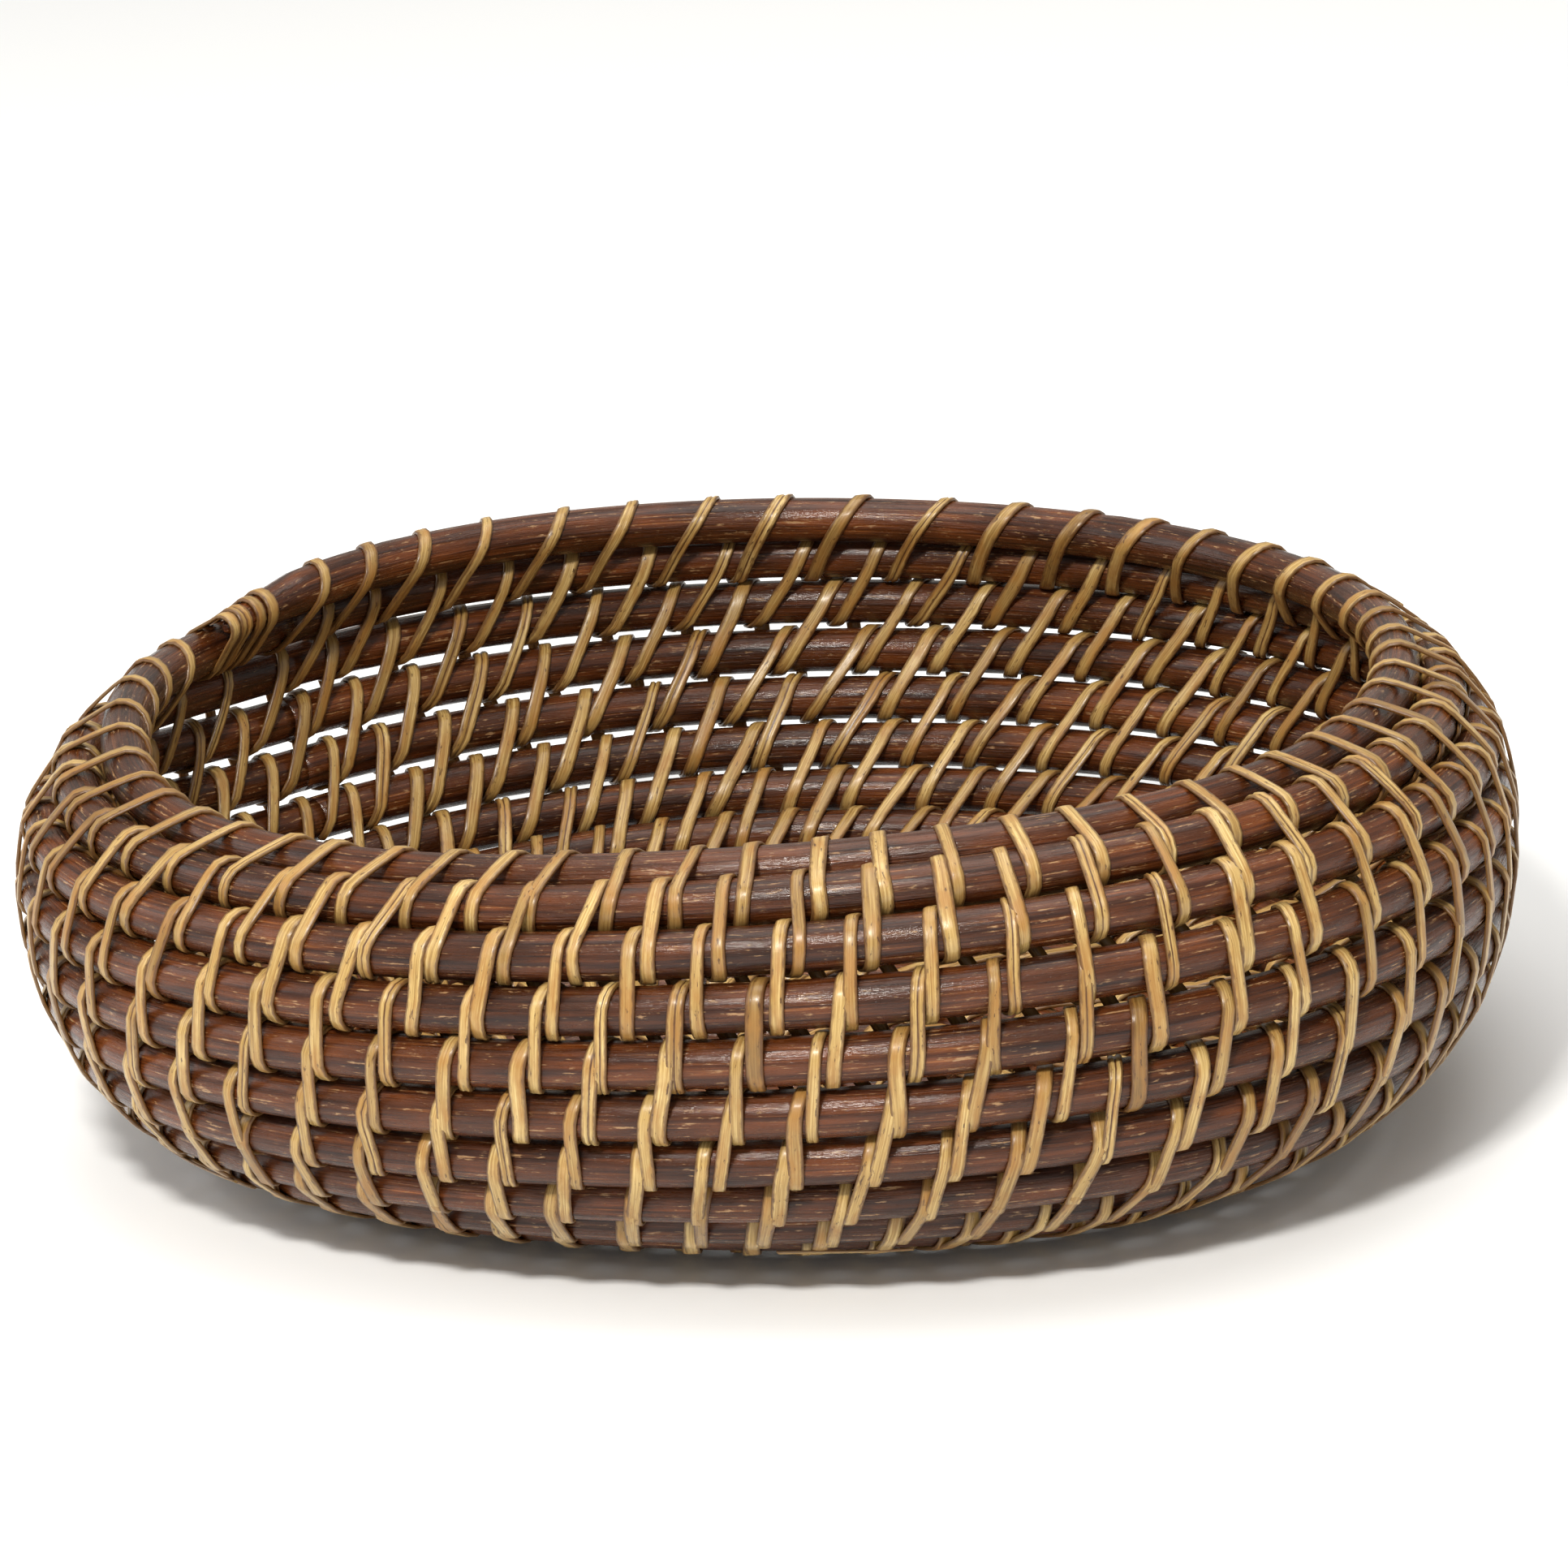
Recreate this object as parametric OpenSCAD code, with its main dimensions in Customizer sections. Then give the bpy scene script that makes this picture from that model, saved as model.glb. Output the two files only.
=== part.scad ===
// Coiled rattan basket.
// One long cane is wound as an oval spiral: flat for the base, then stacked up a bulging wall
// to a rim that turns in. Strips of rattan peel lash every turn to the turn before it.
// Length runs along X, width along Y, and the basket stands on z = 0.

/* [Cane] */
// Diameter of the rattan cane
cane_d = 9; // [6:0.5:12]
// Open gap between one turn and the next, which the peel strips pass through
turn_gap = 1; // [1:0.1:1.5]

/* [Plan] */
// Length of the straight centre cane, in turns, which makes the plan oval
oval = 3.5; // [2:0.1:4]
// Swell of the oval towards a rounded triangle, as a share of its radius
swell = -0.03; // [-0.05:0.005:0.05]

/* [Wall] */
// Lean of the wall from the vertical just above the base, positive outward going up
lean_foot = 85; // [75:1:88]
// Lean a quarter of the way up the wall
lean_low = 65; // [45:1:70]
// Lean halfway up the wall
lean_belly = 25; // [10:1:35]
// Lean three quarters of the way up the wall
lean_high = -1; // [-15:1:10]
// Lean at the rim
lean_rim = -71; // [-75:1:-40]
// How much further the rim leans in on the near side, and out on the far side
lean_side = 27; // [0:1:35]
// Direction in which the wall slumps outward, in degrees round from +X
slump = 107; // [70:1:130]
// How much further the rim leans in at both ends, and out on both sides
lean_end = 11; // [0:1:20]
// Height of the slow wave of the rim
rim_wave = 4.1; // [0:0.1:5]

/* [Lashing] */
// Width of a peel strip
peel_w = 2.8; // [2:0.2:3.4]
// Thickness of a peel strip
peel_t = 0.7; // [0.5:0.1:0.8]
// Stitches in one turn of the wall
stitches = 56; // [40:8:64]
// Share of the stitch spacing by which each turn's stitches run ahead of the turn before it
stitch_shift = 0.3; // [0.26:0.01:0.36]
// Share of the stitch spacing that is left before the first stitch
stitch_start = 0.66; // [0:0.02:0.98]
// How much wider the stitches are spaced at the ends of the oval, and closer along its sides
stitch_swing = 0.12; // [0:0.01:0.15]

/* [Rim end] */
// Length of the tapered end of the cane, in degrees round the rim
tip_arc = 12; // [10:1:16]
// Diameter of the cut end as a share of the full cane
tip_size = 0.5; // [0.3:0.1:0.6]
// Wraps that bind the tapered end down
tip_wraps = 4; // [2:1:4]

/* [Hidden] */
// Turns of the flat base round the centre cane, and turns of the wall above them
base_turns = 7;
wall_turns = 11;
rim = base_turns + wall_turns;
// Angle round the basket at which one turn ends and the next begins
seam = 150;
// Share of a turn over which the cane steps across to its new place
step_share = 0.14;
// Angle at which the rim's wave peaks
wave_phase = 60;
pitch = cane_d + turn_gap;
peel_gap = 0.15;
strap_r = cane_d / 2 + peel_gap + peel_t;
// Sides of the cane's mesh, and its rings in the longest and shortest turns
cane_sides = 8;
wall_rings = 46;
centre_rings = 20;
// A step along the cane that is small enough to take its direction from
nudge = 0.002;
cane_colour = "#5a3224";
peel_colour = "#d2b076";

function unit(v) = v / norm(v);
function smooth(x) = x <= 0 ? 0 : x >= 1 ? 1 : x * x * (3 - 2 * x);

// Lean of the step from turn k - 1 of the wall up to turn k, at angle a
function lean(k, a) =
    let (
        h = (k - 0.5) / wall_turns,
        mean = lookup(h, [
            [0, lean_foot],
            [0.25, lean_low],
            [0.5, lean_belly],
            [0.75, lean_high],
            [1, lean_rim]
        ])
    )
    mean + h * lean_side * cos(a - slump) - pow(h, 3) * lean_end * cos(2 * a);

// Radius and height of the cane's centre line, in turns, t turns out from the centre cane
function reach(t, a) =
    t <= base_turns ? [t, 0] :
    let (
        k = ceil(t - base_turns),
        below = reach(base_turns + k - 1, a),
        share = t - base_turns - k + 1
    )
    below + share * [sin(lean(k, a)), cos(lean(k, a))];

// Point on the cane's centre line, t turns out, at angle a, measured from the centre cane
function from_middle(t, a) =
    let (
        r = reach(t, a),
        plan = 1 + swell * sin(3 * a),
        ends = oval / 2 * (3 * cos(a) - pow(cos(a), 3)) / 2,
        wave = rim_wave * pow(max(0, t - base_turns) / wall_turns, 2) * cos(2 * a + wave_phase)
    )
    [
        pitch * plan * (ends + r[0] * cos(a)),
        pitch * plan * r[0] * sin(a),
        pitch * r[1] + strap_r + wave
    ];

// The wall slumps to one side, so the whole basket is shifted to stand square over the origin
wall_points = [for (t = [base_turns : rim], a = [0 : 5 : 355]) from_middle(t, a)];
wall_x = [for (p = wall_points) p[0]];
wall_y = [for (p = wall_points) p[1]];
shift = [(max(wall_x) + min(wall_x)) / 2, (max(wall_y) + min(wall_y)) / 2, 0];
function centre(t, a) = from_middle(t, a) - shift;

// The cane's own path: w counts turns along it, and each turn begins with a step outward
function level(w) = floor(w) - 1 + smooth((w - floor(w)) / step_share);
function path(w) = centre(level(w), seam + 360 * w);
function heading(w) = unit(path(w + nudge) - path(w - nudge));

// The tapered end rides on the turn below it, from a full cane down to the cut end
function tip_share(w) = 1 - (1 - tip_size) * (w - rim - 1) * 360 / tip_arc;
function tip_rise(w) = (turn_gap + cane_d / 2 * (1 + tip_share(w))) / pitch;
function tip_path(w) = centre(level(w - 1) + tip_rise(w), seam + 360 * w);
function tip_heading(w) = unit(tip_path(w + nudge) - tip_path(w - nudge));

// Ring of the cane's mesh round a point of its centre line
function ring(point, along, r) =
    let (out = unit(cross(along, [0, 0, 1])), up = cross(out, along))
    [for (s = [0 : cane_sides - 1])
        let (a = 360 * (s + 0.5) / cane_sides)
        point + r * (cos(a) * out + sin(a) * up)];

// Closed solid through a list of rings
module skin(rings) {
    m = len(rings[0]);
    last = len(rings) - 1;
    sides = [for (i = [0 : last - 1], s = [0 : m - 1], half = [0, 1])
        let (a = i * m + s, b = i * m + (s + 1) % m)
        half == 0 ? [a, b, a + m] : [b, b + m, a + m]];
    start = [for (s = [m - 1 : -1 : 0]) s];
    end = [for (s = [0 : m - 1]) last * m + s];
    polyhedron([for (one = rings) each one], concat([start], sides, [end]));
}

module cane(from, to, count) {
    skin([for (i = [0 : count])
        let (w = from + (to - from) * i / count)
        ring(path(w), heading(w), cane_d / 2)]);
}

// Straight cane that the first turn bends round; its far end runs on into that turn
module centre_cane() {
    from = path(1);
    color(cane_colour)
        translate(from)
            rotate([0, 90, 0])
                cylinder(h = -2 * (from + shift)[0], d = cane_d, $fn = 48);
}

module base_turn(n) {
    share = n / base_turns;
    color(cane_colour) cane(n, n + 1, round(centre_rings * (1 - share) + wall_rings * 0.75 * share));
}

module wall_turn(n) {
    color(cane_colour) cane(base_turns + n, base_turns + n + 1, wall_rings);
}

// Last turn, with its tapered end
module rim_turn() {
    tip_rings = 6;
    tip_turn = tip_arc / 360;
    body = [for (i = [0 : wall_rings - 1])
        let (w = rim + i / wall_rings)
        ring(path(w), heading(w), cane_d / 2)];
    tip = [for (i = [0 : tip_rings])
        let (w = rim + 1 + tip_turn * i / tip_rings)
        ring(tip_path(w), tip_heading(w), cane_d / 2 * tip_share(w))];
    color(cane_colour) skin(concat(body, tip));
}

// Outline of a strap pulled round two canes, one above the other
module outline(span, upper, lower) {
    slope = asin((upper - lower) / span);
    top = upper * [cos(slope), sin(slope)] + [0, span / 2];
    bottom = lower * [cos(slope), sin(slope)] - [0, span / 2];
    if (upper == lower)
        square([2 * upper, span], center = true);
    else
        polygon([top, bottom, [-bottom[0], bottom[1]], [-top[0], top[1]]]);
    translate([0, span / 2]) circle(r = upper, $fn = 48);
    translate([0, -span / 2]) circle(r = lower, $fn = 48);
}

// Stitches of turn n are this many wall stitches apart: they double as the base widens
function stitch_step(n) = n > base_turns ? 1 : n > 3 ? 2 : n > 1 ? 4 : 8;
// Turn from which they have been that far apart, and how many then fall in each turn
function stitch_group(n) = n > base_turns ? base_turns + 1 : n > 3 ? 4 : n > 1 ? 2 : 1;
function stitch_rate(n) = stitches / stitch_step(n) - stitch_shift;
// Stitches of a group that come before the end of turn n
function stitch_count(n) = ceil((n + 1 - stitch_group(n)) * stitch_rate(n) - stitch_start);
// Place along the cane of a stitch that falls p turns along it
function stitch_at(p) = p + stitch_swing * sin(2 * (seam + 360 * p)) / (4 * PI);

// Strips are narrower where the stitches crowd together
function strip_w(n) = min(peel_w, stitch_shift * 2 * PI * pitch * (n - 0.5) * stitch_step(n) / stitches);

// One stitch: a peel strip round an upper and a lower cane, square to their direction
module stitch(upper_point, lower_point, along, width, upper_r = cane_d / 2) {
    rise = upper_point - lower_point;
    span = norm(rise);
    up = rise / span;
    side = unit(along - (along * up) * up);
    out = cross(side, up);
    mid = (upper_point + lower_point) / 2;
    skin_r = peel_gap + peel_t;
    multmatrix([
        [out[0], side[0], up[0], mid[0]],
        [out[1], side[1], up[1], mid[1]],
        [out[2], side[2], up[2], mid[2]]
    ])
        rotate([90, 0, 0])
            linear_extrude(width, center = true)
                difference() {
                    outline(span, upper_r + skin_r, cane_d / 2 + skin_r);
                    outline(span, upper_r + peel_gap, cane_d / 2 + peel_gap);
                }
}

// Stitches that bind turn n to the turn before it, beginning a share of the turn past the seam.
// The first turn has them on its first half only, where they don't crowd on the centre cane
module lashing(n, from = 0) {
    group = stitch_group(n);
    first = n > group ? stitch_count(n - 1) : 0;
    color(peel_colour)
        for (i = [first : stitch_count(n) - 1]) {
            p = group + (i + stitch_start) / stitch_rate(n);
            w = stitch_at(p);
            crowded = n == 1 && (w - n > 0.5 || abs(cos(seam + 360 * w)) > 0.8);
            if (p >= n + from && level(w) >= 1 && !crowded)
                stitch(path(w), centre(level(w) - 1, seam + 360 * w), heading(w), strip_w(n));
        }
}

module base_lashing(n) {
    lashing(n);
}

module wall_lashing(n) {
    lashing(base_turns + n);
}

module rim_lashing() {
    lashing(rim, tip_arc / 360);
}

// Close wraps that bind the tapered end to the turn below it, over its outer part
module rim_end_binding() {
    tip_turn = tip_arc / 360;
    color(peel_colour)
        for (m = [0 : tip_wraps - 1]) {
            w = rim + 1 + tip_turn * (0.35 + 0.65 * (m + 0.5) / tip_wraps);
            stitch(tip_path(w), path(w - 1), heading(w - 1), peel_w, cane_d / 2 * tip_share(w));
        }
}

// Loose end of a peel strip, lying along the stitches of turn n from one angle to another
module peel_tail(n, from, to) {
    rings = 10;
    color(peel_colour)
        skin([for (i = [0 : rings])
            let (
                a = from + (to - from) * i / rings,
                upper = centre(n, a),
                lower = centre(n - 1, a),
                up = unit(upper - lower),
                along = unit(centre(n, a + 1) - centre(n, a - 1)),
                out = unit(cross(along, up)),
                mid = (upper + lower) / 2 + out * (strap_r + peel_gap + peel_t / 2),
                half = peel_w / 2 * (1 - 0.6 * i / rings)
            )
            [
                mid + half * up - peel_t / 2 * out,
                mid - half * up - peel_t / 2 * out,
                mid - half * up + peel_t / 2 * out,
                mid + half * up + peel_t / 2 * out
            ]]);
}

module peel_tail_far() { peel_tail(rim, 62, 44); }
module peel_tail_left() { peel_tail(base_turns + 4, 216, 230); }
module peel_tail_right() { peel_tail(base_turns + 3, 282, 294); }

centre_cane();
for (n = [1 : base_turns]) {
    base_turn(n);
    base_lashing(n);
}
for (n = [1 : wall_turns - 1]) {
    wall_turn(n);
    wall_lashing(n);
}
rim_turn();
rim_lashing();
rim_end_binding();
peel_tail_far();
peel_tail_left();
peel_tail_right();
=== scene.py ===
"""Looks for the coiled rattan basket: varnished dark cane, lashed turn to turn with pale peel."""
import math

import bpy
import numpy as np
from mathutils import Matrix, Vector


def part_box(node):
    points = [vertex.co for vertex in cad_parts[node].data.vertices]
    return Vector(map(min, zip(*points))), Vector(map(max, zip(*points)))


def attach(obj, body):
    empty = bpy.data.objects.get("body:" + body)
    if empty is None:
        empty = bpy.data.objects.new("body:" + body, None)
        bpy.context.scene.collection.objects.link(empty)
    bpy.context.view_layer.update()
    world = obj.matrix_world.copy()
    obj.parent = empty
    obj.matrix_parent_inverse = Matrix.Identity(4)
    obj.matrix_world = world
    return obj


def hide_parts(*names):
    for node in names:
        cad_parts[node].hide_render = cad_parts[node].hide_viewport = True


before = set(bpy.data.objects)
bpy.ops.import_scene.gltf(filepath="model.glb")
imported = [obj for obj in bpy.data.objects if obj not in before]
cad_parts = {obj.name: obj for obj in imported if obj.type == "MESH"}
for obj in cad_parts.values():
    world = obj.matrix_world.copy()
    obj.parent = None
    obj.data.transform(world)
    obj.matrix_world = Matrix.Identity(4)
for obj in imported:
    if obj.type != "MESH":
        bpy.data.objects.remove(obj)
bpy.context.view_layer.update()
scene = bpy.context.scene
MM = 0.001
TINY = 1e-9

# ---------------------------------------------------------------- driving sizes, in mm and degrees
# The cane, and how far it is wound.
CENTRE_LOW, CENTRE_HIGH = (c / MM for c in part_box("centre_cane"))
CANE_R = (CENTRE_HIGH.z - CENTRE_LOW.z) / 2
TURN_GAP = 1.0
PITCH = 2 * CANE_R + TURN_GAP
FLOOR_TO_AXIS = (CENTRE_HIGH.z + CENTRE_LOW.z) / 2
BASE_TURNS, WALL_TURNS = 7, 11
RIM = BASE_TURNS + WALL_TURNS
# The plan: length of the oval and its three-cornered swell, in turns.
OVAL, SWELL = 3.5, -0.03
# The wall's lean from upright at shares of its height, and how that differs round the basket.
LEAN_HEIGHTS = (0, 0.25, 0.5, 0.75, 1)
LEANS = (85, 65, 25, -1, -71)
LEAN_SIDE, SLUMP, LEAN_END = 27, 107, 11
RIM_WAVE, WAVE_PHASE = 4.1, 60
# Where each turn begins, and the share of it that the step outward takes.
SEAM, STEP_SHARE = 150, 0.14
# The peel, and the clearance between it and the cane.
PEEL_W, PEEL_T, PEEL_GAP = 2.8, 0.7, 0.08
PEEL_MIDDLE = PEEL_GAP + PEEL_T / 2
# Strips differ a little in width; a few have a shallow groove, and fewer a deep one.
STRIP_WIDTHS = (0.86, 0.98, 1.07)
STRIP_GROOVES, GROOVE_CHANCES = (0.0, 0.10, 0.50), (0.52, 0.33, 0.15)
# Stitches in a wall turn, less the shift from turn to turn, and their bunching round the oval.
STITCHES, STITCH_SHIFT = 56, 0.3
STITCH_START, STITCH_SWING = 0.66, 0.12
# The first turn is stitched in its first half only, clear of the ends of the centre cane.
FIRST_PART, FIRST_REACH = 0.5, 0.8
# Unevenness of the stitches, slack of the strips in mm, and how far they slant.
STITCH_UNEVEN = 0.035
TIGHT, LOOSE = 0.02, 0.12
BASE_SLANT, RIM_SLANT, BINDING_SLANT = 0.2, 0.13, 0.06
WALL_SLANT_HEIGHTS, WALL_SLANTS = (0.4, 0.8), (0.34, 0.12)
BEGINS_EARLY = 0.4
RIM_INSIDE_KEYS = (0.50, 0.56, 0.69, 0.88)
# The tapered end of the rim: its share of a turn, its size at the tip as a share of the cane's,
# and the shares of its length that the looks show and that stay bare before its wraps.
TIP_TURN, TIP_SIZE, TIP_WRAPS = 12 / 360, 0.5, 4
TIP_SHOWN, TIP_BARE = 0.94, 0.35
TIP_RINGS = 16
# How far the last wall step may be carried on, to reach the tapered end on top of the rim.
PAST_RIM = 1.5
# Fineness of the cane's mesh, and how smooth it is where two turns meet.
CANE_SIDES = 16
RING_EVERY = 2.6
MEET_SHARE, MEET_LENGTH = 0.985, 12
BEFORE_SEAM = 1e-6

# ---------------------------------------------------------------- colours, linear
CANE_DARK = (0.021, 0.0056, 0.0015)
CANE_MID = (0.088, 0.026, 0.0060)
CANE_LIGHT = (0.23, 0.092, 0.027)
CANE_SCUFF = (0.42, 0.25, 0.12)
PEEL_DARK = (0.25, 0.138, 0.036)
PEEL_MID = (0.47, 0.305, 0.105)
PEEL_LIGHT = (0.66, 0.485, 0.210)
# orange of the stains, also used as painted shade on the strips' undersides
PEEL_ORANGE_STAIN_AND_SHADE = (0.34, 0.155, 0.030)
# painted shade: dark brown for the strips' edges and the middle of their grooves
PEEL_PAINTED_SHADE = (0.095, 0.036, 0.011)
PEEL_FLECK = (0.06, 0.022, 0.008)

# ---------------------------------------------------------------- studio, in m and W
WARM = (1.0, 0.95, 0.88)
WORLD_STRENGTH = 0.52
FLOOR_SIZE = 12.0
LIGHT_AIM = (0, 0, 0.04)
LIGHTS = (
    ("key", (0.06, -1.05, 1.15), (0.24, 0.14), 19, WARM),
    ("top", (0.0, 0.25, 1.5), (1.2, 1.2), 13, (1.0, 0.97, 0.93)),
    ("side", (-1.3, -0.35, 0.8), (0.8, 0.8), 5, (1, 1, 1)),
)
CAMERA_PLACE = (0.4512, -1.3489, 0.5355)
CAMERA_TARGET = (0.0042, -0.0138, 0.0642)
CAMERA_ROLL = -4.35
CAMERA_LENS, CAMERA_SENSOR = 181.2, 36

rng = np.random.default_rng(53)


# ---------------------------------------------------------------- the coil's shape
def lean(k, a):
    """Lean of the step from wall turn k - 1 up to turn k, in radians, at angles a in degrees."""
    h = (k - 0.5) / WALL_TURNS
    mean = np.interp(h, LEAN_HEIGHTS, LEANS)
    side = h * LEAN_SIDE * np.cos(np.radians(a - SLUMP))
    return np.radians(mean + side - h**3 * LEAN_END * np.cos(np.radians(2 * a)))


def reach(t, a):
    """Radius and height of the coil's centre line, in turns, t turns out at angles a."""
    r, z = np.minimum(t, BASE_TURNS), np.zeros_like(t)
    for k in range(1, WALL_TURNS + 1):
        share = np.clip(t - BASE_TURNS - k + 1, 0, 1 if k < WALL_TURNS else PAST_RIM)
        r = r + share * np.sin(lean(k, a))
        z = z + share * np.cos(lean(k, a))
    return r, z


def from_middle(t, a):
    """Centre line of the coil in mm, measured from where the winding starts."""
    t, a = np.broadcast_arrays(np.asarray(t, float), np.asarray(a, float))
    r, z = reach(t, a)
    c, s = np.cos(np.radians(a)), np.sin(np.radians(a))
    plan = 1 + SWELL * np.sin(np.radians(3 * a))
    ends = OVAL / 2 * (3 * c - c**3) / 2
    rise = np.maximum(0, t - BASE_TURNS) / WALL_TURNS
    wave = RIM_WAVE * rise**2 * np.cos(np.radians(2 * a + WAVE_PHASE))
    x = PITCH * plan * (ends + r * c)
    y = PITCH * plan * r * s
    return np.stack([x, y, PITCH * z + FLOOR_TO_AXIS + wave], -1)


def plan_shift():
    """From where the winding starts to the middle of the finished plan."""
    t, a = np.meshgrid(np.arange(BASE_TURNS, RIM + 1.0), np.arange(0, 360, 5.0))
    p = from_middle(t, a)
    return np.array([(p[..., i].max() + p[..., i].min()) / 2 for i in (0, 1)] + [0])


SHIFT = plan_shift()


def centre(t, a):
    """Centre line of the coil in the frame, in mm, t turns out at angles a."""
    return from_middle(t, a) - SHIFT


def level(w):
    """Turns out from the middle, w turns along the cane: each turn begins with a step outward."""
    whole = np.floor(w + TINY)
    x = np.clip((w - whole) / STEP_SHARE, 0, 1)
    return whole - 1 + x * x * (3 - 2 * x)


def angle(w):
    return SEAM + 360 * w


def path(w):
    """Centre line of the cane, w turns along it."""
    w = np.asarray(w, float)
    return centre(level(w), angle(w))


def below(w):
    """Centre line of the turn inside or below."""
    w = np.asarray(w, float)
    return centre(level(w) - 1, angle(w))


def tip_share(w):
    """Thickness of the tapered end, as a share of the cane's."""
    return 1 - (1 - TIP_SIZE) * (w - RIM - 1) / TIP_TURN


def tip_path(w):
    """Centre line of the tapered end, which lies on the first part of the rim."""
    w = np.asarray(w, float)
    rise = (TURN_GAP + CANE_R * (1 + tip_share(w))) / PITCH
    return centre(level(w - 1) + rise, angle(w))


def unit(v):
    return v / np.maximum(np.linalg.norm(v, axis=-1, keepdims=True), TINY)


def run_length(points):
    """Distance along points, from 0 at the first."""
    step = np.linalg.norm(np.diff(points, axis=0), axis=1)
    return np.concatenate([[0], np.cumsum(step)])


def smooth_noise(x, seed, scale):
    """Slow random wander along x, between -1 and 1, the same each run."""
    r = np.random.default_rng(seed)
    return sum(
        np.sin(x / scale * often + r.uniform(0, 6.28)) * weight
        for often, weight in ((1.0, 0.5), (2.3, 0.3), (4.9, 0.2))
    )


# ---------------------------------------------------------------- meshes
def set_attribute(mesh, name, kind, field, values):
    attr = mesh.attributes.new(name, kind, "POINT")
    attr.data.foreach_set(field, np.asarray(values, np.float32).ravel())


def new_mesh(name, verts, faces, grain, tone, groove=None):
    """Object from points in mm, with the straightened-out place of each point as its grain."""
    mesh = bpy.data.meshes.new(name)
    mesh.from_pydata((np.asarray(verts) * MM).tolist(), [], faces)
    set_attribute(mesh, "grain", "FLOAT_VECTOR", "vector", grain * MM)
    set_attribute(mesh, "tone", "FLOAT", "value", tone)
    if groove is not None:
        set_attribute(mesh, "groove_depth", "FLOAT", "value", groove)
    mesh.polygons.foreach_set("use_smooth", [len(face) == 4 for face in faces])
    mesh.update()
    obj = bpy.data.objects.new(name, mesh)
    scene.collection.objects.link(obj)
    return obj


def tube_faces(rings, sides):
    """Faces of a closed tube: quads round it, and one flat face at each end."""
    faces = []
    for i in range(rings - 1):
        a, b = i * sides, (i + 1) * sides
        faces += [(a + s, a + (s + 1) % sides, b + (s + 1) % sides, b + s) for s in range(sides)]
    faces.append(tuple(reversed(range(sides))))
    faces.append(tuple((rings - 1) * sides + s for s in range(sides)))
    return faces


def cane_radius(length, seed):
    """Cane is never quite even: it swells and thins slowly, with a low ring at each node."""
    even, swelling, swelling_length = 0.992, 0.010, 38
    ring_high, ring_low, ring_width, hollow_at = 0.10, 0.07, 2.2, 2.2
    r = np.random.default_rng(seed)
    radius = CANE_R * (even + swelling * smooth_noise(length, seed, swelling_length))
    place = r.uniform(20, 150)
    while place < length.max():
        near = (length - place) / ring_width
        hollow = np.exp(-((near - hollow_at) ** 2) / 2)
        radius = radius + ring_high * np.exp(-(near**2)) - ring_low * hollow
        place += r.uniform(130, 260)
    return radius


def sweep(name, points, radius, start_length, seed):
    """Closed round rod through points."""
    out_of_round, twist_length, tone_length = 0.006, 23, 60
    tangent = unit(np.gradient(points, axis=0))
    out = unit(np.cross(tangent, [0, 0, 1]))
    up = np.cross(out, tangent)
    theta = 2 * np.pi * (np.arange(CANE_SIDES) + 0.5) / CANE_SIDES
    length = start_length + run_length(points)
    twist = length[:, None] / twist_length
    rad = radius[:, None] * (1 + out_of_round * np.sin(3 * theta[None] + twist + seed))
    ring = np.cos(theta)[None, :, None] * out[:, None] + np.sin(theta)[None, :, None] * up[:, None]
    verts = points[:, None] + rad[..., None] * ring
    along = np.repeat(length[:, None], CANE_SIDES, 1)
    grain = np.stack([along, rad * np.cos(theta), rad * np.sin(theta)], -1)
    tone = np.repeat(smooth_noise(length, seed + 7, tone_length)[:, None], CANE_SIDES, 1)
    faces = tube_faces(len(points), CANE_SIDES)
    obj = new_mesh(name, verts.reshape(-1, 3), faces, grain.reshape(-1, 3), tone.ravel())
    return obj, length[-1]


def samples(start, end):
    """Places along the cane, close to RING_EVERY apart."""
    rough, fewest = 60, 12
    total = run_length(path(np.linspace(start, end, rough)))[-1]
    return np.linspace(start, end, max(fewest, int(total / RING_EVERY)))


def centre_cane():
    """The straight start of the cane, in the middle of the base."""
    rings, about_length, seed = 16, 35, 3
    _, y, z = path(1.0)
    line = np.linspace([CENTRE_LOW.x, y, z], [CENTRE_HIGH.x, y, z], rings)
    radius = cane_radius(np.linspace(0, about_length, rings), seed)
    return sweep("cane_centre", line, radius, 0, seed)


def even_ends(radius, length):
    """Brings both ends to one radius, so that the turns meet flush at the seam."""
    even = CANE_R * MEET_SHARE
    blend_in = np.clip(length / MEET_LENGTH, 0, 1)
    blend_out = np.clip((length[-1] - length) / MEET_LENGTH, 0, 1)
    return even + (radius - even) * np.minimum(blend_in, blend_out)


def tip_radius(tip):
    """Radius of the tapered end, which is rounded off over its last part."""
    steepness, least = 6, 0.3
    rounding = np.sqrt(np.linspace(1, 0, TIP_RINGS) * steepness).clip(least, 1)
    return CANE_R * MEET_SHARE * tip_share(tip) * rounding


def make_canes():
    """The whole coil, one piece for each turn as in the CAD model."""
    obj, so_far = centre_cane()
    made = [(obj, "centre_cane")]
    tip = np.linspace(RIM + 1, RIM + 1 + TIP_SHOWN * TIP_TURN, TIP_RINGS)
    for n in range(1, RIM + 1):
        points = path(samples(n, n + 1 - BEFORE_SEAM))
        node = f"base_turn_{n}" if n <= BASE_TURNS else f"wall_turn_{n - BASE_TURNS}"
        if n == RIM:
            node = "rim_turn"
            points = np.concatenate([points[:-1], tip_path(tip)])
        length = run_length(points)
        seed = 100 + n
        radius = even_ends(cane_radius(length, seed), length)
        if n == RIM:
            radius[-TIP_RINGS:] = tip_radius(tip)
        obj, so_far = sweep("cane_" + node, points, radius, so_far, seed)
        made.append((obj, node))
    return made


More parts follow.
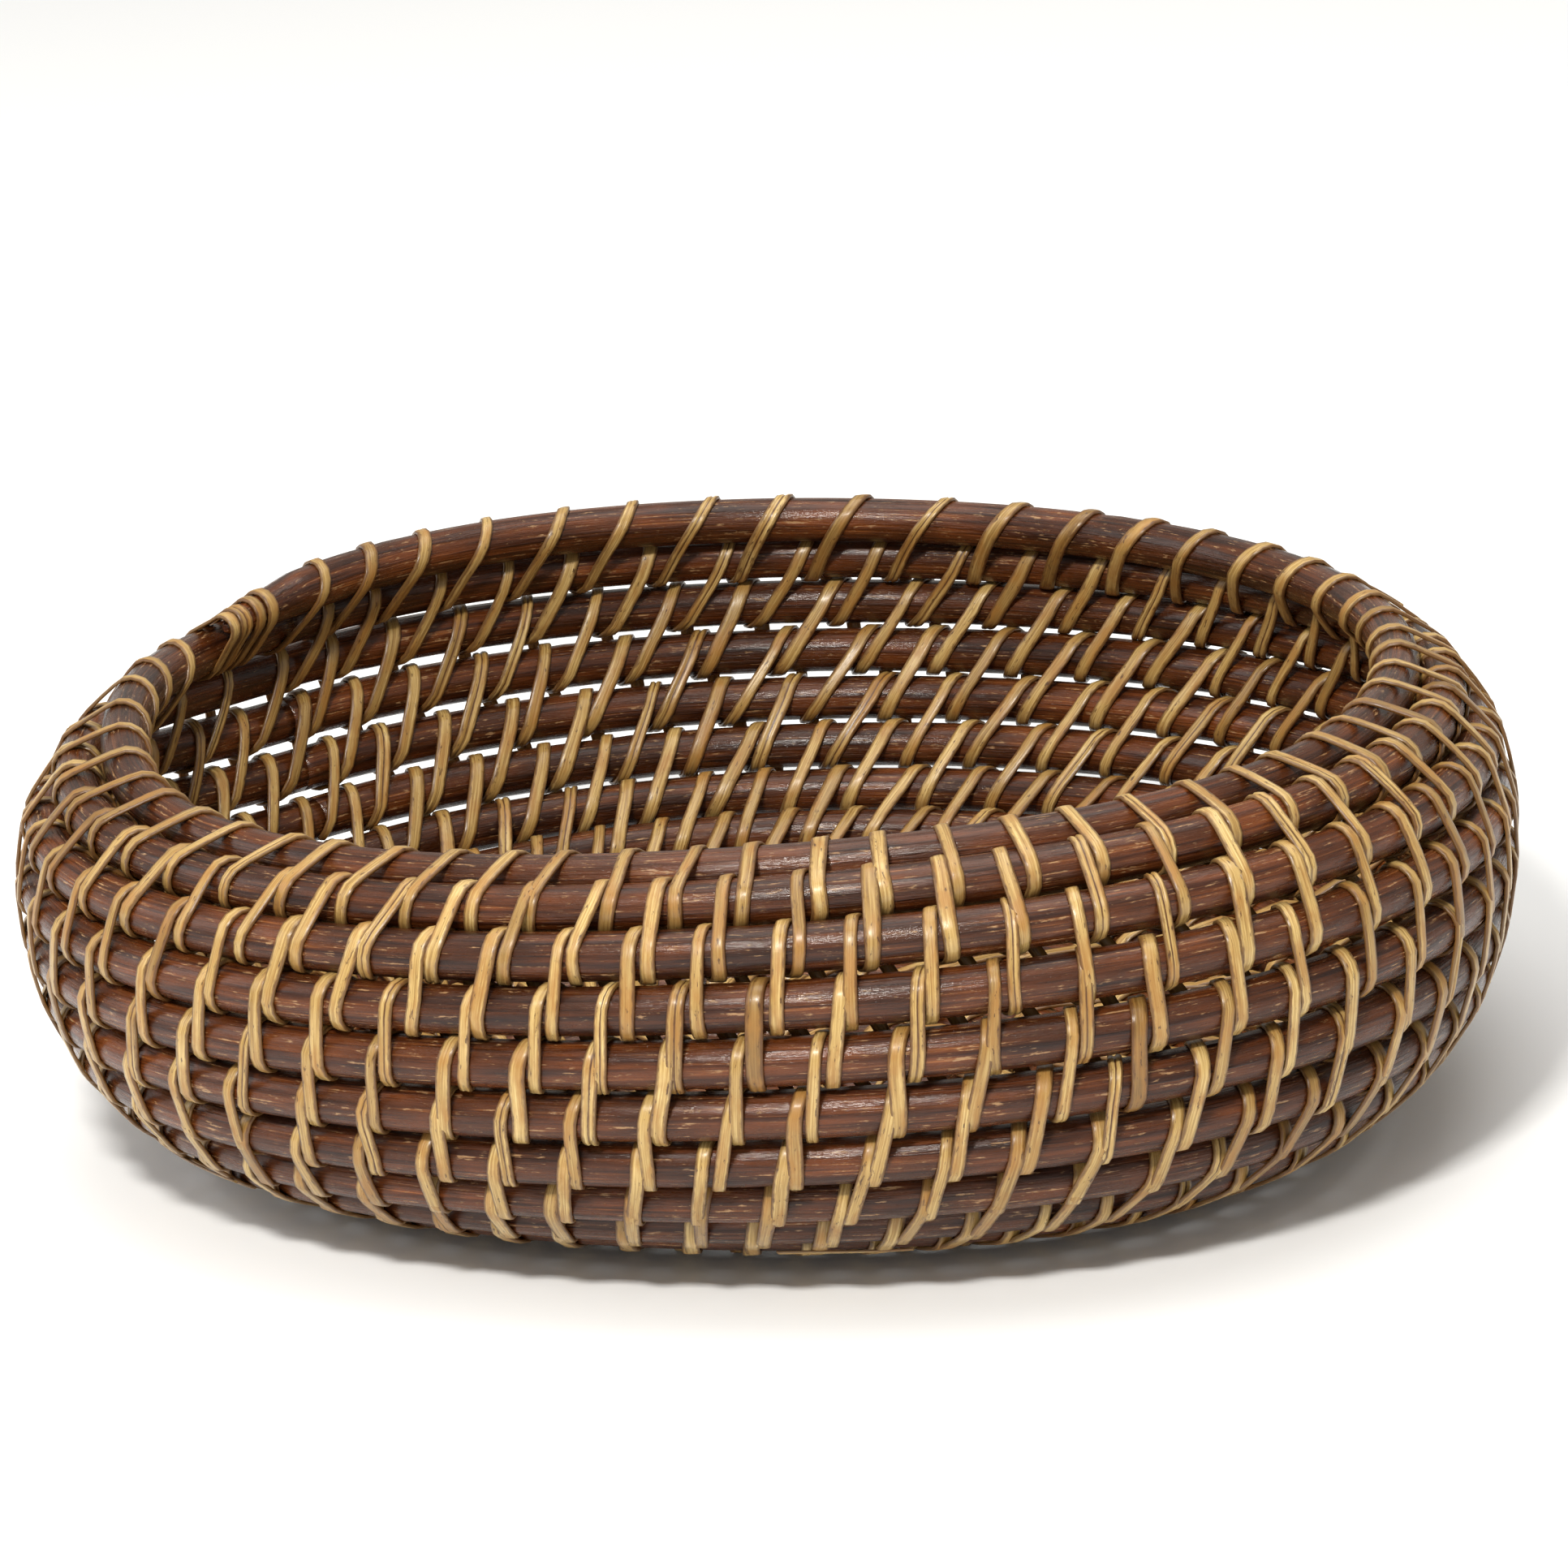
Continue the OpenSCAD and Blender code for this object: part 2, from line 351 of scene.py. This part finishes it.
def stitch_stations():
    """Where a strip runs round a pair of canes.

    Each is the share of the way up from the lower cane to the upper, and the angle in degrees
    round that cane from straight out."""
    out_low = [(0, a) for a in (-90, -66, -42, -18)]
    out_mid = [(h, 0) for h in (0.12, 0.5, 0.88)]
    out_top = [(1, a) for a in (18, 42, 66)]
    in_top = [(1, a) for a in (90, 114, 138, 162)]
    in_mid = [(h, 180) for h in (0.88, 0.62, 0.38, 0.12)]
    in_low = [(0, a) for a in (198, 222, 246)]
    return np.array(out_low + out_mid + out_top + in_top + in_mid + in_low, float)


STATIONS = stitch_stations()


def loop_share():
    """Share of the way round the loop at each station, from straight below the lower cane."""
    h, a = STATIONS[:, 0], STATIONS[:, 1]
    radius = CANE_R + PEEL_MIDDLE
    flat = PITCH * np.where(a <= 90, h, 2 - h)
    return (np.radians(a + 90) * radius + flat) / (2 * np.pi * radius + 2 * PITCH)


LOOP_SHARE = loop_share()


def slant(outside, inside_keys=(0.54, 0.64, 0.78, 0.90)):
    """Progress towards the next stitch against the share of the way round the loop.

    The part outside is made on the outside, and at the four inside keys 8, 22, 54 and 84 % of
    the rest has been made down the inside."""
    shares = (0.0, 0.03, 0.44, *inside_keys, 0.96, 1.0)
    rest = np.array([0.0, 0.08, 0.22, 0.54, 0.84, 0.96, 1.0])
    return shares, (0.0, 0.02, *(outside + (1 - outside) * rest))


def strip_profile(groove):
    """Cross-section of a peel strip: flat, with soft edges and a groove down the middle."""
    left = [(-0.47, -0.50), (-0.50, -0.05), (-0.44, 0.36), (-0.18, 0.50)]
    right = [(-x, y) for x, y in reversed(left)]
    return np.array([*left, (0.0, 0.50 - groove), *right])


def ribbon(points, normals, width, thick, groove, tone, seed):
    """Vertices, faces, grain, tone and groove of one strip of peel laid along points."""
    grain_places, grain_apart = 89, 1000.0
    tangent = unit(np.gradient(points, axis=0))
    side = unit(np.cross(tangent, normals))
    face = np.cross(side, tangent)
    profile = np.stack([strip_profile(g) for g in groove])
    sides = profile.shape[1]
    across = profile[..., 0] * width[:, None]
    proud = profile[..., 1] * thick[:, None]
    verts = points[:, None] + across[..., None] * side[:, None] + proud[..., None] * face[:, None]
    along = np.repeat(run_length(points)[:, None], sides, 1) + grain_apart * (seed % grain_places)
    grain = np.stack([along, profile[..., 0] * PEEL_W, proud], -1)
    faces = tube_faces(len(points), sides)
    return verts.reshape(-1, 3), faces, grain.reshape(-1, 3), *np.repeat([tone, groove], sides, 1)


def soften(values, neighbours):
    """Running mean over so many neighbours each side."""
    count = 2 * neighbours + 1
    return np.convolve(np.pad(values, neighbours, mode="edge"), np.ones(count) / count, "valid")


def wrap_places(r, stitch_w, next_w, sideways):
    """Places along the canes of every station of every stitch, a little unevenly sewn."""
    jitter_spread, lean_spread = 0.05, 0.07
    n = len(stitch_w)
    w0, w1 = np.asarray(stitch_w, float), np.asarray(next_w, float)
    gap = w1 - w0
    side = np.interp(LOOP_SHARE, *sideways)
    jitter = r.normal(0, jitter_spread, n)
    lean_by = r.normal(0, lean_spread, n)
    tilt = np.where(STATIONS[:, 1] < 90, STATIONS[:, 0] - 0.5, 0)
    outside = np.sin(np.pi * np.clip(LOOP_SHARE * 2, 0, 1))
    w = w0[:, None] + gap[:, None] * (side[None] + jitter[:, None] * np.sin(np.pi * LOOP_SHARE))
    w = (w + (gap * lean_by)[:, None] * tilt * outside).ravel()
    w[1:-1] = (w[:-2] + 2 * w[1:-1] + w[2:]) / 4
    return w


def wrap_looks(r, n, seed, widest):
    """Width, groove and tone of a strip at every station of its n stitches."""
    slow, ragged, tone_step, tone_wander = 0.08, 0.06, 0.6, 0.5
    per = len(STATIONS)
    k = np.arange(n * per).astype(float)
    width = 1 + slow * smooth_noise(k, seed, 9) + ragged * smooth_noise(k, seed + 3, 1.6)
    width = widest * width * soften(np.repeat(r.choice(STRIP_WIDTHS, n), per), neighbours=6)
    choice = r.choice(STRIP_GROOVES, n, p=GROOVE_CHANCES)
    groove = soften(np.repeat(choice, per), neighbours=3)
    tone = np.repeat(r.normal(0, tone_step, n), per)
    return width, groove, tone + tone_wander * smooth_noise(k, seed + 1, 40)


def wrap(stitch_w, next_w, upper, lower, upper_r, seed, loose, sideways, widest):
    """One strip wound round an upper and a lower cane, once for each stitch."""
    nudge = 0.0005
    r = np.random.default_rng(seed)
    n, per = len(stitch_w), len(STATIONS)
    w = wrap_places(r, stitch_w, next_w, sideways)
    h = np.tile(STATIONS[:, 0], n)
    a = np.radians(np.tile(STATIONS[:, 1], n))
    top, bottom = upper(w), lower(w)
    up = unit(top - bottom)
    along = unit(lower(w + nudge) - lower(w - nudge))
    flat = unit(along - (along * up).sum(-1, keepdims=True) * up)
    out = np.cross(flat, up)
    normal = np.cos(a)[:, None] * out + np.sin(a)[:, None] * up
    radius = CANE_R * (1 - h) + upper_r(w) * h + PEEL_MIDDLE
    slack = np.repeat(np.minimum(np.abs(r.normal(0, loose, n)), 2 * loose), per)
    slack = slack * np.clip(4 * h * (1 - h), 0, 1)
    points = bottom + h[:, None] * (top - bottom) + (radius + slack)[:, None] * normal
    width, groove, tone = wrap_looks(r, n, seed, widest)
    return ribbon(points, normal, width, np.full(n * per, PEEL_T), groove, tone, seed)


def stitch_step(n):
    """Stitches of turn n are this many wall stitches apart."""
    return 1 if n > BASE_TURNS else 2 if n > 3 else 4 if n > 1 else 8


def stitch_group(n):
    """Turn from which the stitches have been that far apart."""
    return BASE_TURNS + 1 if n > BASE_TURNS else 4 if n > 3 else 2 if n > 1 else 1


def stitch_rate(n):
    """Stitches to a turn."""
    return STITCHES / stitch_step(n) - STITCH_SHIFT


def stitch_count(n):
    """Stitches from the start of the group to the end of turn n."""
    return math.ceil((n + 1 - stitch_group(n)) * stitch_rate(n) - STITCH_START)


def stitch_places(n, start=0.0):
    """Places along the cane of the stitches of turn n, as in the CAD model, and their gap."""
    group = stitch_group(n)
    first = stitch_count(n - 1) if n > group else 0
    p = group + (np.arange(first, stitch_count(n)) + STITCH_START) / stitch_rate(n)
    w = p + STITCH_SWING * np.sin(np.radians(2 * angle(p))) / (4 * math.pi)
    keep = (p >= n + start) & (level(w) >= 1)
    if n == 1:
        keep &= (w - n <= FIRST_PART) & (np.abs(np.cos(np.radians(angle(w)))) <= FIRST_REACH)
    return w[keep], 1 / stitch_rate(n)


def full_radius(w):
    return np.full(len(w), CANE_R)


def lashing(n):
    """The strip that sews turn n to the turn inside or below it."""
    w, gap = stitch_places(n, TIP_TURN if n == RIM else 0.0)
    w = w + gap * rng.normal(0, STITCH_UNEVEN, len(w))
    after = np.append(w[1:], w[-1] + gap)
    node, sideways = f"base_lashing_{n}", slant(BASE_SLANT)
    loose = TIGHT if n <= BASE_TURNS + 1 else LOOSE
    if n > BASE_TURNS:
        outside = np.interp((n - BASE_TURNS) / WALL_TURNS, WALL_SLANT_HEIGHTS, WALL_SLANTS)
        w, after = w - BEGINS_EARLY * outside * gap, after - BEGINS_EARLY * outside * gap
        node, sideways = f"wall_lashing_{n - BASE_TURNS}", slant(outside)
    if n == RIM:
        node, sideways = "rim_lashing", slant(RIM_SLANT, RIM_INSIDE_KEYS)
    widest = min(PEEL_W, STITCH_SHIFT * 2 * math.pi * PITCH * (n - 0.5) * gap)
    strip = wrap(w, after, path, below, full_radius, 300 + n, loose, sideways, widest)
    return new_mesh("peel_" + node, *strip), node


def make_lashings():
    return [lashing(n) for n in range(1, RIM + 1)]


def make_binding():
    """Close wraps that hold the tapered end of the cane down on the turn below it."""
    wider, closeness, seed = 1.15, 0.95, 400
    gap = (1 - TIP_BARE) * TIP_TURN / TIP_WRAPS
    w = RIM + 1 + TIP_BARE * TIP_TURN + gap * (np.arange(TIP_WRAPS) + 0.5)

    def upper(x):
        return tip_path(np.clip(x, RIM + 1, RIM + 1 + TIP_TURN))

    def lower(x):
        return path(x - 1)

    def radius(x):
        return CANE_R * np.clip(tip_share(x), TIP_SIZE, 1)

    after, sideways, widest = w + gap * closeness, slant(BINDING_SLANT), PEEL_W * wider
    strip = wrap(w, after, upper, lower, radius, seed, TIGHT, sideways, widest)
    return [(new_mesh("peel_rim_end_binding", *strip), "rim_end_binding")]


def tail(n, start, end, seed):
    """Loose end of a strip, lying along the stitches of turn n between two angles."""
    count, wander, narrowing, thinness, groove = 40, 0.5, 0.6, 0.6, 0.1
    a = np.linspace(start, end, count)
    upper, lower = centre(n, a), centre(n - 1.0, a)
    up = unit(upper - lower)
    along = unit(centre(n, a + 1) - centre(n, a - 1))
    out = unit(np.cross(along, up))
    share = np.linspace(0, 1, count)
    lift = CANE_R + PEEL_GAP + PEEL_T * 1.25
    points = (upper + lower) / 2 + out * lift + up * (wander * np.sin(share * 5 + seed))[:, None]
    width = PEEL_W * (1 - narrowing * share)
    thick = np.full(count, PEEL_T * thinness)
    return ribbon(points, out, width, thick, np.full(count, groove), np.full(count, 0.2), seed)


def make_tails():
    places = (
        ("far", float(RIM), 62, 44),
        ("left", BASE_TURNS + 4.0, 216, 230),
        ("right", BASE_TURNS + 3.0, 282, 294),
    )
    return [
        (new_mesh("peel_end_" + which, *tail(n, start, end, seed)), "peel_tail_" + which)
        for seed, (which, n, start, end) in enumerate(places, 5)
    ]


# ---------------------------------------------------------------- materials
def ramp(tree, factor, stops):
    """Colour ramp over (place, colour) stops."""
    node = tree.nodes.new("ShaderNodeValToRGB")
    elements = node.color_ramp.elements
    while len(elements) < len(stops):
        elements.new(0.5)
    for element, (place, colour) in zip(elements, stops):
        element.position = place
        element.color = (*colour, 1)
    tree.links.new(factor, node.inputs[0])
    return node.outputs[0]


def stretched_noise(tree, vector, along, across, detail, rough, offset=0.0):
    """Noise on the straightened-out strip or cane, so many to the metre along and across."""
    mapping = tree.nodes.new("ShaderNodeMapping")
    mapping.inputs["Scale"].default_value = (along, across, across)
    mapping.inputs["Location"].default_value = (offset, offset * 0.7, offset * 0.3)
    tree.links.new(vector, mapping.inputs["Vector"])
    noise = tree.nodes.new("ShaderNodeTexNoise")
    noise.inputs["Scale"].default_value = 1.0
    noise.inputs["Detail"].default_value = detail
    noise.inputs["Roughness"].default_value = rough
    tree.links.new(mapping.outputs[0], noise.inputs["Vector"])
    return noise.outputs[0]


def feed(tree, socket, value):
    """Sets a number or a colour on a socket, or links another node's output to it."""
    if isinstance(value, (int, float)):
        socket.default_value = value
    elif isinstance(value, tuple):
        socket.default_value = (*value, 1)
    else:
        tree.links.new(value, socket)


def mix(tree, factor, first, second, mode="MIX"):
    node = tree.nodes.new("ShaderNodeMix")
    node.data_type = "RGBA"
    node.blend_type = mode
    for socket, value in ((0, factor), (6, first), (7, second)):
        feed(tree, node.inputs[socket], value)
    return node.outputs[2]


def tint(tree, colour, factor, stops):
    """Multiplies a colour by a ramp of tints."""
    return mix(tree, 1.0, colour, ramp(tree, factor, stops), "MULTIPLY")


def span(tree, value, from_low, from_high, to_low=0.0, to_high=1.0):
    node = tree.nodes.new("ShaderNodeMapRange")
    node.inputs["From Min"].default_value = from_low
    node.inputs["From Max"].default_value = from_high
    node.inputs["To Min"].default_value = to_low
    node.inputs["To Max"].default_value = to_high
    tree.links.new(value, node.inputs["Value"])
    return node.outputs[0]


def math_node(tree, operation, *values):
    node = tree.nodes.new("ShaderNodeMath")
    node.operation = operation
    for socket, value in zip(node.inputs, values):
        feed(tree, socket, value)
    return node.outputs[0]


def multiply(tree, first, second):
    return math_node(tree, "MULTIPLY", first, second)


def add(tree, first, second):
    return math_node(tree, "ADD", first, second)


def attribute(tree, name, output="Fac"):
    node = tree.nodes.new("ShaderNodeAttribute")
    node.attribute_name = name
    return node.outputs[output]


def bump(tree, height, distance, strength):
    node = tree.nodes.new("ShaderNodeBump")
    node.inputs["Strength"].default_value = strength
    node.inputs["Distance"].default_value = distance
    tree.links.new(height, node.inputs["Height"])
    return node.outputs[0]


def blank(name):
    material = bpy.data.materials.new(name)
    material.use_nodes = True
    return material, material.node_tree, material.node_tree.nodes["Principled BSDF"]


def set_gloss(shader, specular, coat, coat_roughness):
    shader.inputs["Specular IOR Level"].default_value = specular
    shader.inputs["Coat Weight"].default_value = coat
    shader.inputs["Coat Roughness"].default_value = coat_roughness


def cane_material():
    """Rattan core, stained dark red-brown and varnished: fibres run along it, with pale scuffs."""
    material, tree, shader = blank("cane_varnished")
    grain, tone = attribute(tree, "grain", "Vector"), attribute(tree, "tone")
    fibres = stretched_noise(tree, grain, 45, 2100, detail=6.0, rough=0.65)
    streaks = stretched_noise(tree, grain, 22, 700, detail=3.0, rough=0.6, offset=3.1)
    patches = stretched_noise(tree, grain, 55, 150, detail=3.0, rough=0.5, offset=7.7)
    pits = stretched_noise(tree, grain, 420, 1500, detail=3.0, rough=0.6, offset=11.3)
    stops = [(0.30, CANE_DARK), (0.46, CANE_MID), (0.56, CANE_MID), (0.70, CANE_LIGHT)]
    colour = ramp(tree, fibres, stops)
    colour = tint(tree, colour, streaks, [(0.36, (0.34, 0.28, 0.24)), (0.56, (1.0, 1.0, 1.0))])
    colour = tint(tree, colour, patches, [(0.38, (0.66, 0.60, 0.55)), (0.64, (1.45, 1.32, 1.18))])
    shade = span(tree, tone, -1, 1)
    colour = tint(tree, colour, shade, [(0.0, (0.75, 0.72, 0.70)), (1.0, (1.3, 1.25, 1.2))])
    scuff = multiply(tree, span(tree, multiply(tree, pits, fibres), 0.325, 0.40), 0.8)
    feed(tree, shader.inputs["Base Color"], mix(tree, scuff, colour, CANE_SCUFF))
    gloss = span(tree, add(tree, pits, streaks), 0.75, 1.25, to_low=0.46, to_high=0.16)
    feed(tree, shader.inputs["Roughness"], gloss)
    set_gloss(shader, specular=0.16, coat=0.5, coat_roughness=0.12)
    height = add(tree, fibres, multiply(tree, streaks, 1.3))
    height = add(tree, height, multiply(tree, pits, 0.7))
    feed(tree, shader.inputs["Normal"], bump(tree, height, distance=0.00036, strength=0.9))
    feed(tree, shader.inputs["Coat Normal"], bump(tree, height, distance=0.00011, strength=0.8))
    return material


def peel_material():
    """Rattan peel: golden skin with fine grooves along it, flecks and stains; painted shade
    darkens its edges, its underside (more orange) and the groove of grooved strips.
    """
    material, tree, shader = blank("peel_strip")
    grain, tone = attribute(tree, "grain", "Vector"), attribute(tree, "tone")
    groove = attribute(tree, "groove_depth")
    fibres = stretched_noise(tree, grain, 70, 3000, detail=4.0, rough=0.6)
    patches = stretched_noise(tree, grain, 130, 300, detail=3.0, rough=0.55, offset=5.3)
    flecks = stretched_noise(tree, grain, 420, 1500, detail=3.0, rough=0.65, offset=9.1)
    colour = ramp(tree, fibres, [(0.30, PEEL_DARK), (0.50, PEEL_MID), (0.68, PEEL_LIGHT)])
    shade = span(tree, tone, -1.6, 1.6)
    stops = [(0.0, (0.46, 0.38, 0.28)), (0.5, (0.92, 0.90, 0.84)), (1.0, (1.16, 1.22, 1.3))]
    colour = tint(tree, colour, shade, stops)
    orange = multiply(tree, span(tree, patches, 0.46, 0.66), 0.7)
    colour = mix(tree, orange, colour, PEEL_ORANGE_STAIN_AND_SHADE)
    place = tree.nodes.new("ShaderNodeSeparateXYZ")
    feed(tree, place.inputs[0], grain)
    across = math_node(tree, "ABSOLUTE", place.outputs[1])
    # Painted shade: the strip turns raggedly darker towards both edges, where they curve down to
    # the cane.
    edge = add(tree, across, multiply(tree, flecks, 0.0011))
    edge = multiply(tree, span(tree, edge, 0.00130, 0.00170), 0.8)
    colour = mix(tree, edge, colour, PEEL_PAINTED_SHADE)
    # Painted shade: a dark line down the middle of strips that have a groove, where the groove
    # dips.
    line = add(tree, across, multiply(tree, flecks, 0.0003))
    line = multiply(tree, span(tree, line, 0.00042, 0.00020), span(tree, groove, 0.1, 0.5))
    colour = mix(tree, line, colour, PEEL_PAINTED_SHADE)
    # Painted shade: the underside and lower sides of the strip, which lie against the cane, are
    # darker and more orange.
    underside_shade = multiply(tree, span(tree, place.outputs[2], -0.0001, -0.00032), 0.6)
    colour = mix(tree, underside_shade, colour, PEEL_ORANGE_STAIN_AND_SHADE)
    fleck = multiply(tree, span(tree, flecks, 0.63, 0.68), 0.8)
    feed(tree, shader.inputs["Base Color"], mix(tree, fleck, colour, PEEL_FLECK))
    gloss = span(tree, patches, 0.3, 0.7, to_low=0.26, to_high=0.46)
    feed(tree, shader.inputs["Roughness"], gloss)
    set_gloss(shader, specular=0.45, coat=0.15, coat_roughness=0.2)
    height = add(tree, fibres, multiply(tree, flecks, 0.8))
    feed(tree, shader.inputs["Normal"], bump(tree, height, distance=0.00014, strength=0.7))
    return material


def floor_material():
    material, tree, shader = blank("studio_floor")
    noise = tree.nodes.new("ShaderNodeTexNoise")
    noise.inputs["Scale"].default_value = 3.0
    colour = ramp(tree, noise.outputs[0], [(0.0, (0.90, 0.93, 0.96)), (1.0, (0.92, 0.95, 0.98))])
    feed(tree, shader.inputs["Base Color"], colour)
    shader.inputs["Roughness"].default_value = 0.9
    shader.inputs["Specular IOR Level"].default_value = 0.1
    return material


# ---------------------------------------------------------------- studio
def area_light(name, place, size, power, colour):
    data = bpy.data.lights.new(name, "AREA")
    data.shape = "RECTANGLE"
    data.size, data.size_y = size
    data.energy = power
    data.color = colour
    obj = bpy.data.objects.new(name, data)
    obj.location = place
    obj.rotation_euler = (Vector(LIGHT_AIM) - Vector(place)).to_track_quat("-Z", "Y").to_euler()
    scene.collection.objects.link(obj)


def make_floor():
    mesh = bpy.data.meshes.new("floor")
    half = FLOOR_SIZE / 2
    corners = [(-half, -half, 0), (half, -half, 0), (half, half, 0), (-half, half, 0)]
    mesh.from_pydata(corners, [], [(0, 1, 2, 3)])
    floor = bpy.data.objects.new("floor", mesh)
    scene.collection.objects.link(floor)
    mesh.materials.append(floor_material())


def make_studio():
    make_floor()
    world = bpy.data.worlds.new("studio")
    world.use_nodes = True
    back = world.node_tree.nodes["Background"]
    back.inputs["Color"].default_value = (*WARM, 1)
    back.inputs["Strength"].default_value = WORLD_STRENGTH
    scene.world = world
    scene.view_settings.view_transform = "Standard"
    for light in LIGHTS:
        area_light(*light)


def make_camera():
    place, target = Vector(CAMERA_PLACE), Vector(CAMERA_TARGET)
    data = bpy.data.cameras.new("camera")
    data.lens, data.sensor_width = CAMERA_LENS, CAMERA_SENSOR
    data.clip_start, data.clip_end = 0.05, 50
    camera = bpy.data.objects.new("camera", data)
    turn = (target - place).to_track_quat("-Z", "Y").to_matrix().to_4x4()
    roll = Matrix.Rotation(math.radians(CAMERA_ROLL), 4, "Z")
    camera.matrix_world = Matrix.Translation(place) @ turn @ roll
    scene.collection.objects.link(camera)
    scene.camera = camera


# ---------------------------------------------------------------- build
def build():
    make_camera()
    make_studio()
    looks = {"cane": cane_material(), "peel": peel_material()}
    for slot, made in (
        ("cane", make_canes()),
        ("peel", make_lashings() + make_binding() + make_tails()),
    ):
        for obj, node in made:
            obj.data.materials.append(looks[slot])
            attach(obj, "root")
            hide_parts(node)


build()
